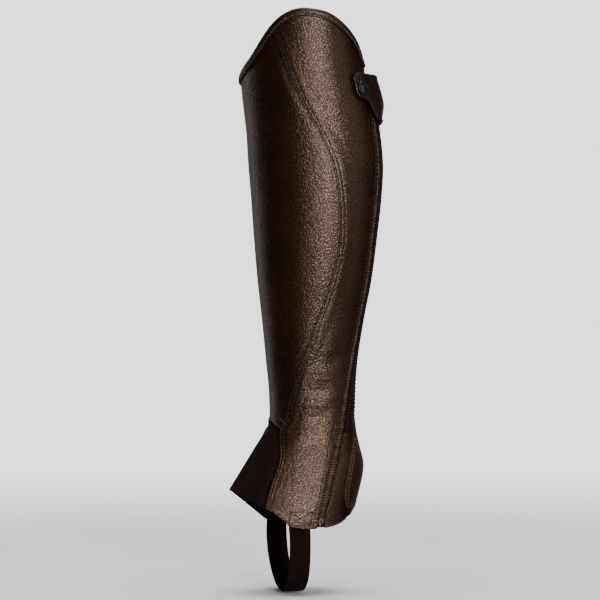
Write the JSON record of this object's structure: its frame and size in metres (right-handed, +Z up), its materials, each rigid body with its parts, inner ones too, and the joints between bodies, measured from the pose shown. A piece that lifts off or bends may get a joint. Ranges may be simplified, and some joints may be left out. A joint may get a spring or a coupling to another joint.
{
  "type": "half chap",
  "caption": "Leather gaiter for the left lower leg, filled out as worn, with a peaked top, back zip, snap tab, elastic front wings and a strap under the foot.",
  "frame": {"origin": "on the leg's axis at the calf's widest girth, 316 mm above the hem", "axes": "+Z up the leg, -X towards the toe, -Y towards the outer side, +Y towards the inner side"},
  "size_m": [0.138, 0.1153, 0.5048],
  "materials": {
    "grained_leather": "dark brown pebbled full grain, soft sheen",
    "smooth_leather": "dark brown smooth leather, soft sheen",
    "binding_leather": "dark brown thin leather, folded",
    "elastic": "near-black brown ribbed stretch webbing",
    "zip_tape": "woven tape",
    "dark_metal": "dark nickel plate",
    "snap_enamel": "glossy black enamel"
  },
  "bodies": {
    "chap": {"front_panel": "grained_leather", "outer_panel": "grained_leather", "inner_panel": "smooth_leather", "back_elastic": "elastic", "heel_patch": "grained_leather", "front_gusset": "elastic", "zip_tape_outer": "zip_tape", "zip_tape_inner": "zip_tape", "top_binding": "binding_leather", "snap_tab": "grained_leather", "snap_cap": "snap_enamel", "snap_socket": "dark_metal", "snap_stud": "dark_metal", "zip_slider": "dark_metal", "foot_strap": "elastic"},
    "pull": {"zip_pull": "dark_metal"}
  },
  "joints": [
    {"name": "zip_pull_hinge", "type": "hinge", "parent": "chap", "child": "pull", "pos_m": [0.04196, -0.03185, 0.06651], "axis": [-0.4681, -0.8692, -0.1593], "range_deg": [0, 8]}
  ]
}
